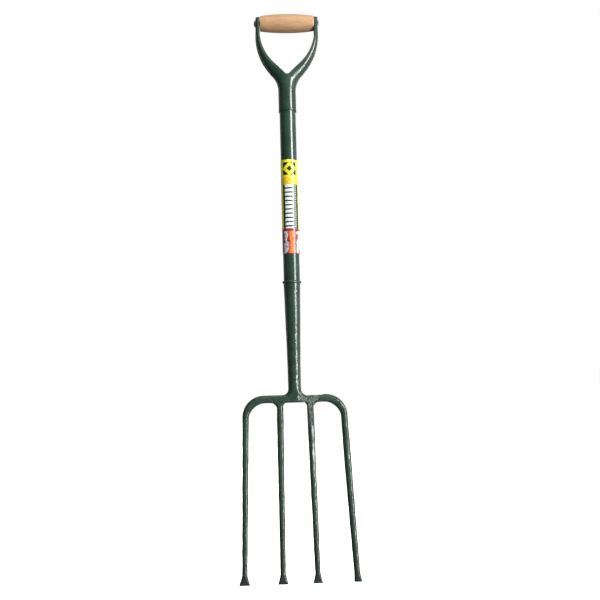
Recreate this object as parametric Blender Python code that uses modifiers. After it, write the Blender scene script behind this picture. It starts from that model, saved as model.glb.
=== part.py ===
"""Digging fork: a forged four-tine head, a tubular steel shaft and a metal hilt with a wooden grip.

Units are metres. +Z runs up the shaft, +X to the fork's right and -Y to its front. The fork stands
with its four toes on the plane Z = 0.
"""
import math

import bmesh
import bpy
from mathutils import Vector

GAP = 0.0003                      # between pieces that touch on the real fork

# Shaft
TUBE_RADIUS = 0.0145
TUBE_WALL = 0.0016
TUBE_BOTTOM = 0.5178
TUBE_TOP = 0.8510

# Grip and the rod through it
GRIP_AXIS_Z = 0.9836
GRIP_RADIUS = 0.0164
GRIP_END_RADIUS = 0.0132
GRIP_ROUND_OVER = 0.0012
ROD_RADIUS = 0.0040
HEAD_RADIUS = 0.0060
HEAD_HEIGHT = 0.0030
PEENED_RADIUS = 0.0052
PEENED_HEIGHT = 0.0009

# Hilt: a socket over the shaft, and two channel-shaped arms that spread from it
SOCKET_RADIUS = 0.0158
SOCKET_BOTTOM = 0.8208
SOCKET_TOP = 0.8605
LIP_HEIGHT = 0.0030
LIP_STEP = 0.0003
ARM_SPREAD = math.radians(45)     # steepest lean of an arm away from the shaft
LOWER_BEND = 0.0570               # radius of the bend out of the socket
UPPER_BEND = 0.0850               # radius of the bend up to the eye
EYE_X = 0.0487                    # inner face of each eye
ARM_WALL = 0.0020
CROTCH_ARM_WIDTH = 0.0170
CROTCH_DEPTH_SHARE = 0.92         # front-to-back depth at the crotch, as a share of the socket's
BEND_DEPTH_SHARE = 0.90           # and at the bottom of the upper bend
ARM_STEPS = 8                     # sections in each bend
ARM_SQUARENESS = 2.4              # 2 is an elliptical section
HOLLOW_OVERCUT = 0.0015           # how far the hollow's cutter runs past the arm's open face
EYE_WIDTH = 0.0075
EYE_DEPTH = 0.0236
CROTCH_TOP = 0.8875

# Forged neck
NECK_TOP = 0.5135
NECK_TOP_RADIUS = 0.0150
NECK_WAIST_RADIUS = 0.0113
NECK_WAIST_Z = 0.3330
SPIGOT_TOP = 0.5750
SPIGOT_BEVEL = 0.0010
NECK_FILLET = 0.0085              # where the neck spreads into the crosshead
NECK_FILLET_DROP = 0.0060         # from the waist to the top of that fillet
BEAD_RADIUS = 0.0172

# Crosshead
CROSS_TOP = 0.3178
CROSS_BOTTOM = 0.3044
CROSS_HALF_DEPTH = 0.0070
CROSS_HALF_LENGTH = 0.0408        # from the shaft to the middle of each slanted end
FORGED_EDGE = 0.0020              # rounding of the crosshead's edges
CROSS_SLANT = 0.0064              # lean of each end, half of it above and half below the middle

# Tines
SHOULDER_BEND = 0.0310            # radius of the outer tines' shoulders, at the middle of the bar
TINE_TOP_WIDTH = 0.0114
TINE_TOE_WIDTH = 0.0086
TINE_LEAN = 0.0090                # the tines' forward reach at the toe, from leaning
TINE_BOW = 0.0160                 # and from the bow
TOE_HEIGHT = 0.0155
TOE_WIDTH = 0.0172
TOE_DEPTH = 0.0045
CHAMFER_SHARE = 0.27              # corner chamfer of the forged bars, as a share of their width
OUTER_ROOT_X = 0.0868
OUTER_TOE_X = 0.0980
INNER_ROOT_X = 0.0264
INNER_TOE_X = 0.0302
WELD_HEIGHT = 0.0060
WELD_SPREAD = 0.0048              # how far the root weld reaches sideways at the top
WELD_SKIN = 0.0010                # and how thick it is at its thin edge
WELD_OFFSET = 0.0016              # how far it leans to the outer side

# Label wrapped round the shaft
LABEL_BOTTOM = 0.5654
LABEL_TOP = 0.7321
LABEL_THICKNESS = 0.00025

ROUND_STEPS = 32
FORK_COLLECTION = "digging_fork"
CUTTER_COLLECTION = "cutters"


def clear_scene():
    for old in list(bpy.data.objects):
        bpy.data.objects.remove(old, do_unlink=True)


def add_collection(name):
    collection = bpy.data.collections.new(name)
    bpy.context.scene.collection.children.link(collection)
    return collection


def make_material(name, colour, roughness, metallic):
    material = bpy.data.materials.new(name)
    material.use_nodes = True
    shader = material.node_tree.nodes["Principled BSDF"]
    shader.inputs["Base Color"].default_value = (*colour, 1.0)
    shader.inputs["Roughness"].default_value = roughness
    shader.inputs["Metallic"].default_value = metallic
    material.diffuse_color = (*colour, 1.0)
    return material


def add_object(name, mesh, colour=(0.03, 0.07, 0.045), roughness=0.2, metallic=0.0, cutter=False):
    """Puts a mesh in the scene as a part with its own material, or as a cutter."""
    thing = bpy.data.objects.new(name, mesh)
    if cutter:
        bpy.data.collections[CUTTER_COLLECTION].objects.link(thing)
        thing.hide_render = True
        thing.display_type = "WIRE"
    else:
        bpy.data.collections[FORK_COLLECTION].objects.link(thing)
        mesh.materials.append(make_material(name, colour, roughness, metallic))
    return thing


def mesh_from(name, bm, recalc=True):
    if recalc:
        bmesh.ops.recalc_face_normals(bm, faces=bm.faces)
    mesh = bpy.data.meshes.new(name)
    bm.to_mesh(mesh)
    bm.free()
    mesh.shade_smooth()
    mesh.set_sharp_from_angle(angle=math.radians(35))
    return mesh


def loft(name, rings, closed=False, **look):
    """Skins a row of rings that all have the same number of points; closed joins the last to the first."""
    bm = bmesh.new()
    rows = [[bm.verts.new(point) for point in ring] for ring in rings]
    count = len(rows[0])
    pairs = list(zip(rows, rows[1:]))
    if closed:
        pairs.append((rows[-1], rows[0]))
    else:
        bm.faces.new(rows[0])
        bm.faces.new(list(reversed(rows[-1])))
    for lower, upper in pairs:
        for i in range(count):
            j = (i + 1) % count
            bm.faces.new((lower[j], lower[i], upper[i], upper[j]))
    return add_object(name, mesh_from(name, bm), **look)


def turned(name, profile, close_profile=False, axis="Z", **look):
    """A profile of (radius, height) points turned about an axis, listed down its outer side."""
    bm = bmesh.new()
    points = [bm.verts.new((radius, 0.0, height)) for radius, height in profile]
    ends = zip(points, points[1:] + points[:1]) if close_profile else zip(points, points[1:])
    for start, end in ends:
        bm.edges.new((start, end))
    thing = add_object(name, mesh_from(name, bm, recalc=False), **look)
    screw = thing.modifiers.new("turn", "SCREW")
    screw.axis = "Z"
    screw.steps = ROUND_STEPS
    screw.render_steps = ROUND_STEPS
    screw.use_merge_vertices = True
    screw.merge_threshold = 0.00005
    if axis == "X":
        thing.rotation_euler = (0.0, math.radians(90), 0.0)
    return thing


def cut(target, cutter, operation="DIFFERENCE"):
    boolean = target.modifiers.new(cutter.name, "BOOLEAN")
    boolean.operation = operation
    boolean.solver = "EXACT"
    boolean.object = cutter


def lerp(start, end, share):
    return start + (end - start) * share


def bar_ring(centre, tilt, half_across, half_deep, side=1):
    """An eight-cornered section of a forged bar; tilt 0 sets its width upright, 90 degrees outward."""
    across = Vector((side * math.sin(tilt), 0.0, math.cos(tilt)))
    deep = Vector((0.0, 1.0, 0.0))
    chamfer = 2 * CHAMFER_SHARE * min(half_across, half_deep)
    corners = ((half_across, half_deep - chamfer), (half_across - chamfer, half_deep),
               (chamfer - half_across, half_deep), (-half_across, half_deep - chamfer),
               (-half_across, chamfer - half_deep), (chamfer - half_across, -half_deep),
               (half_across - chamfer, -half_deep), (half_across, chamfer - half_deep))
    return [Vector(centre) + across * u + deep * v for u, v in corners]


def oval_ring(z, half_x, half_y, squareness=2.0, steps=24):
    """A level ring round the shaft: an ellipse at squareness 2, nearer a box above that."""
    power = 2.0 / squareness
    ring = []
    for i in range(steps):
        turn = 2 * math.pi * i / steps
        x = math.copysign(abs(math.cos(turn)) ** power, math.cos(turn)) * half_x
        y = math.copysign(abs(math.sin(turn)) ** power, math.sin(turn)) * half_y
        ring.append((x, y, z))
    return ring


def forward(z):
    """How far a tine's middle is in front of the shaft at a height; the front is -Y."""
    drop = max(0.0, (CROSS_BOTTOM - z) / CROSS_BOTTOM)
    return -(TINE_LEAN * drop + TINE_BOW * drop * drop)


def tine_half_width(z):
    return 0.5 * lerp(TINE_TOE_WIDTH, TINE_TOP_WIDTH, (z / CROSS_BOTTOM) ** 1.2)


def straight_tine(side, root_x, toe_x, root_z):
    """Rings of a tine from below its root down to the flared toe."""
    rings = []
    for share in (0.0, 0.1, 0.25, 0.4, 0.55, 0.7, 0.85, 1.0):
        z = lerp(root_z, TOE_HEIGHT, share)
        x = lerp(toe_x, root_x, z / root_z)
        half = tine_half_width(z)
        rings.append(bar_ring((side * x, forward(z), z), math.radians(90), half, half, side))
    for share in (0.35, 0.7, 1.0):
        z = TOE_HEIGHT * (1 - share)
        x = lerp(toe_x, root_x, z / root_z)
        flare = share ** 1.1
        half_across = lerp(0.5 * TINE_TOE_WIDTH, 0.5 * TOE_WIDTH, flare)
        half_deep = lerp(0.5 * TINE_TOE_WIDTH, 0.5 * TOE_DEPTH, share)
        rings.append(bar_ring((side * x, forward(z), z), math.radians(90), half_across, half_deep, side))
    return rings


def inner_tine(name, side):
    root_z = CROSS_BOTTOM - GAP
    loft(name, straight_tine(side, INNER_ROOT_X, INNER_TOE_X, root_z))


def outer_tine(name, side):
    """A bar that leaves the crosshead's slanted end, turns down at the shoulder and runs to its toe."""
    middle_z = 0.5 * (CROSS_TOP + CROSS_BOTTOM)
    half_tall = 0.5 * (CROSS_TOP - CROSS_BOTTOM)
    slant = math.atan2(CROSS_SLANT, half_tall)
    root = (side * (CROSS_HALF_LENGTH + GAP), 0.0, middle_z)
    rings = [bar_ring(root, slant, half_tall / math.cos(slant), CROSS_HALF_DEPTH, side)]
    bend_x = OUTER_ROOT_X - SHOULDER_BEND
    bend_z = middle_z - SHOULDER_BEND
    splay = math.atan2(OUTER_TOE_X - OUTER_ROOT_X, bend_z)
    for step in range(9):
        turn = (0.5 * math.pi - splay) * step / 8
        x = bend_x + SHOULDER_BEND * math.sin(turn)
        z = bend_z + SHOULDER_BEND * math.cos(turn)
        half = lerp(half_tall, tine_half_width(bend_z), step / 8)
        half_deep = lerp(CROSS_HALF_DEPTH, tine_half_width(bend_z), step / 8)
        rings.append(bar_ring((side * x, forward(z), z), turn, half, half_deep, side))
    end_x = bend_x + SHOULDER_BEND * math.cos(splay)
    end_z = bend_z + SHOULDER_BEND * math.sin(splay)
    rings += straight_tine(side, end_x, OUTER_TOE_X, end_z)[1:]
    loft(name, rings)


def tine_weld(name, side):
    """The weld fillet round an inner tine where it meets the underside of the crosshead."""
    top_z = CROSS_BOTTOM - GAP
    bottom_z = top_z - WELD_HEIGHT
    half = tine_half_width(top_z)
    outward = math.radians(90)

    def ring(z, grow, grow_deep, offset):
        x = side * (lerp(INNER_TOE_X, INNER_ROOT_X, z / top_z) + offset)
        return bar_ring((x, forward(z), z), outward, half + grow, half + grow_deep, side)

    rings = [ring(top_z, WELD_SPREAD, WELD_SKIN, WELD_OFFSET),
             ring(lerp(top_z, bottom_z, 0.4), 0.5 * WELD_SPREAD, WELD_SKIN, 0.4 * WELD_OFFSET),
             ring(bottom_z, WELD_SKIN, WELD_SKIN, 0.0),
             ring(bottom_z, GAP, GAP, 0.0),
             ring(top_z, GAP, GAP, 0.0)]
    loft(name, rings, closed=True)


def forged_neck():
    """The spigot that fills the foot of the shaft, the tapering neck and the middle of the crosshead."""
    spigot_radius = TUBE_RADIUS - TUBE_WALL - GAP
    rings = [oval_ring(SPIGOT_TOP, spigot_radius - SPIGOT_BEVEL, spigot_radius - SPIGOT_BEVEL),
             oval_ring(SPIGOT_TOP - SPIGOT_BEVEL, spigot_radius, spigot_radius),
             oval_ring(NECK_TOP, spigot_radius, spigot_radius)]
    for share in (0.0, 0.2, 0.4, 0.6, 0.8, 1.0):
        z = lerp(NECK_TOP, NECK_WAIST_Z, share)
        radius = lerp(NECK_WAIST_RADIUS, NECK_TOP_RADIUS, (1 - share) ** 1.35)
        rings.append(oval_ring(z, radius, radius))
    for step in range(1, 5):
        turn = math.radians(20) * step
        z = NECK_WAIST_Z - NECK_FILLET_DROP - NECK_FILLET * math.sin(turn)
        half_x = NECK_WAIST_RADIUS + NECK_FILLET * (1 - math.cos(turn))
        half_y = lerp(NECK_WAIST_RADIUS, CROSS_HALF_DEPTH, 0.2 * step)
        rings.append(oval_ring(z, half_x, half_y, 2.0 + 0.3 * step))
    buried_z = CROSS_BOTTOM + 2 * FORGED_EDGE
    rings.append(oval_ring(buried_z, NECK_WAIST_RADIUS + NECK_FILLET, CROSS_HALF_DEPTH - GAP, 3.2))
    neck = loft("forged_neck", list(reversed(rings)))

    bm = bmesh.new()
    bmesh.ops.create_cube(bm, size=1.0)
    for corner in bm.verts:
        corner.co.x *= 2 * (CROSS_HALF_LENGTH + 2 * CROSS_SLANT * corner.co.z)
        corner.co.y *= 2 * CROSS_HALF_DEPTH
        corner.co.z = lerp(CROSS_BOTTOM, CROSS_TOP, corner.co.z + 0.5)
    block = add_object("crosshead_block", mesh_from("crosshead_block", bm), cutter=True)
    bevel = block.modifiers.new("forged_edges", "BEVEL")
    bevel.width = FORGED_EDGE
    bevel.segments = 2
    cut(neck, block, "UNION")


def weld_bead():
    """The weld that fills the groove between the neck's shoulder and the foot of the shaft."""
    inner = TUBE_RADIUS - TUBE_WALL
    low = NECK_TOP + GAP
    high = TUBE_BOTTOM - GAP
    middle = 0.5 * (low + high)
    bulge = BEAD_RADIUS - TUBE_RADIUS
    profile = [(inner, high)]
    for step in range(7):
        turn = math.radians(90 - 30 * step)
        profile.append((TUBE_RADIUS + bulge * math.cos(turn), middle + 0.5 * (high - low) * math.sin(turn)))
    profile.append((inner, low))
    turned("neck_weld_bead", profile, close_profile=True)


def shaft_tube():
    inner = TUBE_RADIUS - TUBE_WALL
    profile = [(TUBE_RADIUS, TUBE_TOP), (TUBE_RADIUS, TUBE_BOTTOM), (inner, TUBE_BOTTOM), (inner, TUBE_TOP)]
    turned("shaft_tube", profile, close_profile=True)


def label():
    inner = TUBE_RADIUS + GAP
    outer = inner + LABEL_THICKNESS
    profile = [(outer, LABEL_TOP), (outer, LABEL_BOTTOM), (inner, LABEL_BOTTOM), (inner, LABEL_TOP)]
    turned("label", profile, close_profile=True, colour=(0.85, 0.75, 0.05), roughness=0.5)


def hilt_socket():
    inner = TUBE_RADIUS + GAP
    lip = SOCKET_RADIUS + LIP_STEP
    profile = [(SOCKET_RADIUS, SOCKET_TOP - GAP), (SOCKET_RADIUS, SOCKET_BOTTOM + LIP_HEIGHT),
               (lip, SOCKET_BOTTOM + 0.7 * LIP_HEIGHT), (lip, SOCKET_BOTTOM + LIP_STEP),
               (SOCKET_RADIUS, SOCKET_BOTTOM), (inner, SOCKET_BOTTOM), (inner, SOCKET_TOP - GAP)]
    turned("hilt_socket", profile, close_profile=True)


def arm_line():
    """The inner face of the right arm, from the socket to the eye: (x, z, lean, width, depth) rows.

    Below the crotch the two arms meet on the fork's middle plane, and above it each face leans away.
    """
    rows = []
    socket_depth = 2 * SOCKET_RADIUS
    for step in range(ARM_STEPS + 1):
        share = step / ARM_STEPS
        lean = ARM_SPREAD * share
        to_middle = LOWER_BEND * (1 / math.cos(lean) - 1)
        to_split = LOWER_BEND * (math.sqrt(2) / (math.sin(lean) + math.cos(lean)) - 1)
        reach = min(to_middle, to_split)
        x = LOWER_BEND * (1 - math.cos(lean)) - reach * math.cos(lean) + 0.5 * GAP
        z = SOCKET_TOP + LOWER_BEND * math.sin(lean) + reach * math.sin(lean)
        width = lerp(SOCKET_RADIUS, CROTCH_ARM_WIDTH, share) + reach
        rows.append((x, z, lean, width, lerp(socket_depth, CROTCH_DEPTH_SHARE * socket_depth, share)))
    lower_end_x = rows[-1][0]
    lower_end_z = rows[-1][1]
    run = (EYE_X - lower_end_x - UPPER_BEND * (1 - math.cos(ARM_SPREAD))) / math.sin(ARM_SPREAD)
    bend_top = lower_end_z + run * math.cos(ARM_SPREAD) + UPPER_BEND * math.sin(ARM_SPREAD)
    for step in range(ARM_STEPS + 1):
        share = 1 - step / ARM_STEPS
        lean = ARM_SPREAD * share
        x = EYE_X - UPPER_BEND * (1 - math.cos(lean))
        z = bend_top - UPPER_BEND * math.sin(lean)
        width = lerp(EYE_WIDTH, CROTCH_DEPTH_SHARE * CROTCH_ARM_WIDTH, share ** 1.2)
        rows.append((x, z, lean, width, lerp(EYE_DEPTH, BEND_DEPTH_SHARE * socket_depth, share)))
    rows.append((EYE_X, GRIP_AXIS_Z, 0.0, EYE_WIDTH, EYE_DEPTH))
    return rows


def half_round_ring(x, y_half, z, lean, width, side, reach_in=0.0, steps=10):
    """A D-shaped section whose flat face is the arm's inner face, or that far inside it for a cutter."""
    outward = Vector((side * math.cos(lean), 0.0, -math.sin(lean)))
    start = Vector((side * x, 0.0, z))
    power = 2.0 / ARM_SQUARENESS
    ring = []
    for step in range(steps + 1):
        turn = math.pi * step / steps
        across = width * math.sin(turn) ** power
        deep = -math.copysign(abs(math.cos(turn)) ** power, math.cos(turn)) * y_half
        ring.append(start + outward * across + Vector((0.0, deep, 0.0)))
    if reach_in:
        ring.append(start - outward * reach_in + Vector((0.0, y_half, 0.0)))
        ring.append(start - outward * reach_in - Vector((0.0, y_half, 0.0)))
    return ring


def hilt_arm(name, side):
    """A channel that leaves the socket as half of a tube and ends in a narrow rounded eye."""
    rows = arm_line()
    outer_rings = []
    hollow_rings = []
    for x, z, lean, width, depth in rows:
        outer_rings.append(half_round_ring(x, 0.5 * depth, z, lean, width, side))
        hollow_rings.append(half_round_ring(x, 0.5 * depth - ARM_WALL, z, lean, width - ARM_WALL, side,
                                            reach_in=HOLLOW_OVERCUT))
    for step in range(1, 6):
        turn = math.radians(15) * step
        z = GRIP_AXIS_Z + 0.5 * EYE_DEPTH * math.sin(turn)
        half_depth = 0.5 * EYE_DEPTH * math.cos(turn)
        outer_rings.append(half_round_ring(EYE_X, half_depth, z, 0.0, EYE_WIDTH, side))
    x, z, lean, width, depth = rows[0]
    hollow_rings.insert(0, half_round_ring(x, 0.5 * depth - ARM_WALL, z - HOLLOW_OVERCUT, lean,
                                           width - ARM_WALL, side, reach_in=HOLLOW_OVERCUT))
    arm = loft(name, outer_rings)
    cut(arm, loft(name + "_hollow", hollow_rings, cutter=True))
    cut(arm, eye_hole(name + "_hole", side))


def eye_hole(name, side):
    bm = bmesh.new()
    radius = ROD_RADIUS + GAP
    bmesh.ops.create_cone(bm, cap_ends=True, segments=ROUND_STEPS, radius1=radius, radius2=radius, depth=0.04)
    hole = add_object(name, mesh_from(name, bm), cutter=True)
    hole.rotation_euler = (0.0, math.radians(90), 0.0)
    hole.location = (side * EYE_X, 0.0, GRIP_AXIS_Z)
    return hole


def crotch_web():
    """The small wedge that fills the bottom of the split between the arms, flat on top."""
    split_z = SOCKET_TOP + LOWER_BEND * (math.sqrt(2) - 1)
    half_depth = 0.5 * (1 + CROTCH_DEPTH_SHARE) * SOCKET_RADIUS - GAP
    rings = []
    for share in (0.2, 0.6, 1.0):
        z = lerp(split_z, CROTCH_TOP, share)
        half_width = z - split_z - GAP
        rings.append([(half_width, half_depth, z), (-half_width, half_depth, z),
                      (-half_width, -half_depth, z), (half_width, -half_depth, z)])
    loft("crotch_web", rings)


def grip():
    """The turned wooden grip, barrel-shaped, bored for the rod."""
    half = EYE_X - GAP
    bore = ROD_RADIUS + GAP
    profile = [(bore, half), (GRIP_END_RADIUS - GRIP_ROUND_OVER, half)]
    steps = 12
    for step in range(steps + 1):
        height = lerp(half - GRIP_ROUND_OVER, GRIP_ROUND_OVER - half, step / steps)
        swell = 1 - (height / half) ** 2
        profile.append((lerp(GRIP_END_RADIUS, GRIP_RADIUS, swell), height))
    profile += [(GRIP_END_RADIUS - GRIP_ROUND_OVER, -half), (bore, -half)]
    thing = turned("grip", profile, close_profile=True, axis="X", colour=(0.66, 0.42, 0.23), roughness=0.55)
    thing.location = (0.0, 0.0, GRIP_AXIS_Z)


def grip_rod():
    """The rod through both eyes and the grip: a domed head on the left, peened over on the right."""
    seat = EYE_X + EYE_WIDTH + GAP
    profile = [(0.0, seat + PEENED_HEIGHT), (0.7 * PEENED_RADIUS, seat + 0.8 * PEENED_HEIGHT),
               (PEENED_RADIUS, seat + 0.2 * PEENED_HEIGHT), (PEENED_RADIUS, seat),
               (ROD_RADIUS, seat), (ROD_RADIUS, -seat), (HEAD_RADIUS, -seat)]
    for step in range(1, 6):
        turn = math.radians(18) * step
        profile.append((HEAD_RADIUS * math.cos(turn), -seat - HEAD_HEIGHT * math.sin(turn)))
    profile[-1] = (0.0, -seat - HEAD_HEIGHT)
    rod = turned("grip_rod", profile, axis="X", roughness=0.35)
    rod.location = (0.0, 0.0, GRIP_AXIS_Z)


def stand_on_origin():
    """Hangs every part on one empty, placed so that the origin is under the middle of the fork's box."""
    root = bpy.data.objects.new("fork_root", None)
    bpy.data.collections[FORK_COLLECTION].objects.link(root)
    shaped = [thing for thing in bpy.data.objects if thing.type == "MESH"]
    for thing in shaped:
        thing.parent = root
    bpy.context.view_layer.update()
    corners = []
    graph = bpy.context.evaluated_depsgraph_get()
    for thing in bpy.data.collections[FORK_COLLECTION].objects:
        if thing.type == "MESH":
            solid = thing.evaluated_get(graph)
            corners += [solid.matrix_world @ vertex.co for vertex in solid.data.vertices]
    depths = [corner.y for corner in corners]
    root.location.y = -0.5 * (min(depths) + max(depths))


def main():
    clear_scene()
    add_collection(FORK_COLLECTION)
    add_collection(CUTTER_COLLECTION)
    forged_neck()
    for side, word in ((-1, "left"), (1, "right")):
        outer_tine("tine_outer_" + word, side)
        inner_tine("tine_inner_" + word, side)
        tine_weld("tine_weld_" + word, side)
        hilt_arm("hilt_arm_" + word, side)
    weld_bead()
    shaft_tube()
    label()
    hilt_socket()
    crotch_web()
    grip_rod()
    grip()
    stand_on_origin()


main()
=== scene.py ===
"""The looks of the digging fork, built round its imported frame.

Metres, on the frame's axes: +Z up the shaft, +X to the fork's right and -Y to its front. Meshes are made
round a shaft on x = 0, y = 0, and add_piece moves them onto the frame's shaft.
"""
import math
from collections import namedtuple
import bmesh
import bpy
from mathutils import Matrix, Vector, noise


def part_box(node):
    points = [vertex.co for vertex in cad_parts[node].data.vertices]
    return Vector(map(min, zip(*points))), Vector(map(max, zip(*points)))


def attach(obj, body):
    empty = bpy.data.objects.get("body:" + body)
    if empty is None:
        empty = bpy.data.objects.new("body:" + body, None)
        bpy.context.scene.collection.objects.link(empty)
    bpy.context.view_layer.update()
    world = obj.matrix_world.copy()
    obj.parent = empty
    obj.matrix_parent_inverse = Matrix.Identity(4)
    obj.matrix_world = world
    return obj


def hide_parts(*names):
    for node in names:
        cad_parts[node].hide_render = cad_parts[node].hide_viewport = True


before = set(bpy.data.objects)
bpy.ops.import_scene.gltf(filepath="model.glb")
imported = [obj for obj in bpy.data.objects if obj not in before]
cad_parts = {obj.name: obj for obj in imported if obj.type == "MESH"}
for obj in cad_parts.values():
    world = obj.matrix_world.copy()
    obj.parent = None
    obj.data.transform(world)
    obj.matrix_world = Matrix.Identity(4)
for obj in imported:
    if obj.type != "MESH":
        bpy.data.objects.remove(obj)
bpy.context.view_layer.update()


def span(node, axis):
    """How long a CAD node is along an axis."""
    low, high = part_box(node)
    return high[axis] - low[axis]


def low_of(node, axis):
    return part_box(node)[0][axis]


def high_of(node, axis):
    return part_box(node)[1][axis]


X, Y, Z = 0, 1, 2
AXIS_Y = 0.5 * (low_of("shaft_tube", Y) + high_of("shaft_tube", Y))

# Shaft and label
TUBE_RADIUS = 0.5 * span("shaft_tube", X)
TUBE_WALL = 0.0016
SINK = 0.0004                     # how far an end runs into its neighbour, so that no gap shows
TUBE_BOTTOM = low_of("shaft_tube", Z)
TUBE_TOP = high_of("shaft_tube", Z)
LABEL_RADIUS = 0.5 * span("label", X)
LABEL_BOTTOM = low_of("label", Z)
LABEL_TOP = high_of("label", Z)
LABEL_HEIGHT = LABEL_TOP - LABEL_BOTTOM

# Hilt
LIP_HEIGHT = 0.0030
LIP_STEP = 0.0003
SOCKET_RADIUS = 0.5 * span("hilt_socket", X) - LIP_STEP
SOCKET_BOTTOM = low_of("hilt_socket", Z)
SOCKET_TOP = high_of("hilt_socket", Z) + LIP_STEP
ARM_SPREAD = math.radians(45)
LOWER_BEND = 0.0570
UPPER_BEND = 0.0850
ARM_WALL = 0.0020
CROTCH_ARM_WIDTH = 0.0170
CROTCH_DEPTH_SHARE = 0.92
BEND_DEPTH_SHARE = 0.90
ARC_START = math.radians(-12)     # below 0, so each channel bends a little past half round at its lips
LIP_ROLL = 0.80                   # how far the channel's lips roll in, as a share of the wall
HILT_LEAN = 0.0024                # the hilt leans this far to the right at the grip
EYE_WIDTH = 0.0075
EYE_DEPTH = 0.0236
EYE_X = high_of("hilt_arm_right", X) - EYE_WIDTH
CROTCH_TOP = high_of("crotch_web", Z)
SPLIT_Z = SOCKET_TOP + LOWER_BEND * (math.sqrt(2) - 1)    # where the two arms part
WEB_EASE = 0.0006
WEB_OVERLAP = 0.0022              # how far the web runs into each arm
BEND_STEPS = 28

# Grip and rod
GRIP_RADIUS = 0.5 * span("grip", Z)
GRIP_AXIS_Z = high_of("grip", Z) - GRIP_RADIUS
GRIP_HALF = 0.5 * span("grip", X)
GRIP_END_RADIUS = 0.0132
GRIP_ROUND_OVER = 0.0012
ROD_RADIUS = 0.0040
HEAD_RADIUS = 0.5 * span("grip_rod", Z)
PEENED_RADIUS = 0.0052
ROD_LEFT = -low_of("grip_rod", X)
ROD_RIGHT = high_of("grip_rod", X)

# Forged head
NECK_TOP_RADIUS = 0.0150
NECK_WAIST_RADIUS = 0.0113
NECK_WAIST_Z = 0.3330
NECK_FILLET = 0.0100
NECK_FILLET_DROP = 0.0050
BEAD_RADIUS = 0.5 * span("neck_weld_bead", X)
BEAD_BOTTOM = low_of("neck_weld_bead", Z)
BEAD_TOP = high_of("neck_weld_bead", Z)
CROSS_BOTTOM = low_of("forged_neck", Z)
CROSS_TOP = CROSS_BOTTOM + 0.0134
CROSS_MIDDLE = 0.5 * (CROSS_BOTTOM + CROSS_TOP)
CROSS_HALF_TALL = 0.5 * (CROSS_TOP - CROSS_BOTTOM)
CROSS_HALF_DEPTH = 0.0070
LAP_X = 0.0408                    # middle of the slanted lap between crosshead and outer tine
LAP_SLOPE = 0.95
CUT_X = 0.0450                    # where the outer tines' pieces start
WELD_HEIGHT = 0.0080
OUTER_FILLET = 0.0072             # reach of a root weld along the crosshead, away from the shaft
INNER_FILLET = 0.0040             # and towards it
CUT_Z = CROSS_BOTTOM - WELD_HEIGHT - 0.0020
SHOULDER_BEND = 0.0310
SHOULDER_SWELL = 0.0010           # extra metal inside each shoulder
TINE_TOP_WIDTH = 0.0114
TINE_TOE_WIDTH = 0.0086
TINE_REACH = 0.0238               # how far forward the toes stand
LEAN_SHARE = 0.36                 # the part of that reach that is lean and not bow
TOE_HEIGHT = 0.0155
TOE_DEPTH = 0.0045
CHAMFER_SHARE = 0.27
OUTER_ROOT_X = 0.0868
OUTER_TOE_X = 0.0980
INNER_ROOT_X = 0.0264
INNER_TOE_X = 0.0302
VOXEL = 0.0008
ROUND_STEPS = 96

# What forging left on the surface: heights, then the sizes of the marks
TINE_DENT = 0.00030
HEAD_DENT = 0.00024
WELD_DENT = 0.00110
PITTING = 0.00014
WELD_PITTING = 0.00022
TINE_DENT_SIZE = 0.0075
HEAD_DENT_SIZE = 0.0090
PIT_SIZE = 0.0030
LAP_CREASE = 0.0011               # half the width of the crease along each lap
LAP_DEPTH_RIGHT = 0.0012
LAP_DEPTH_LEFT = 0.0003
SAG = 0.0014                      # the crosshead sags this much to the right of the neck
SAG_START = 0.012

# Each hand-forged tine is a little different; its twist is how far it is turned to the right at its root
Tine = namedtuple("Tine", "side root_x toe_x scale toe_width toe_shift twist")
TINES = {
    "tine_outer_left": Tine(-1, OUTER_ROOT_X, OUTER_TOE_X - 0.0046, 1.05, 0.0190, 0.0, 0.0),
    "tine_inner_left": Tine(-1, INNER_ROOT_X, INNER_TOE_X - 0.0022, 1.08, 0.0180, 0.0, math.radians(8)),
    "tine_inner_right": Tine(1, INNER_ROOT_X - 0.0004, INNER_TOE_X + 0.0012, 1.08, 0.0165, 0.0,
                             math.radians(24)),
    "tine_outer_right": Tine(1, OUTER_ROOT_X - 0.0012, OUTER_TOE_X + 0.0008, 1.20, 0.0140, 0.0008,
                             math.radians(10)),
}

# Camera, relative to the shaft
VIEW_AZIMUTH = math.radians(-1.5)
VIEW_DISTANCE = 1.3
VIEW_HEIGHT = 0.38
VIEW_YAW = math.radians(-0.552)
VIEW_PITCH = math.radians(3.181)
VIEW_ROLL = math.radians(-1.481)
VIEW_LENS = 44.35
VIEW_SENSOR = 36.0
VIEW_SHIFT = 0.03

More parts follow.
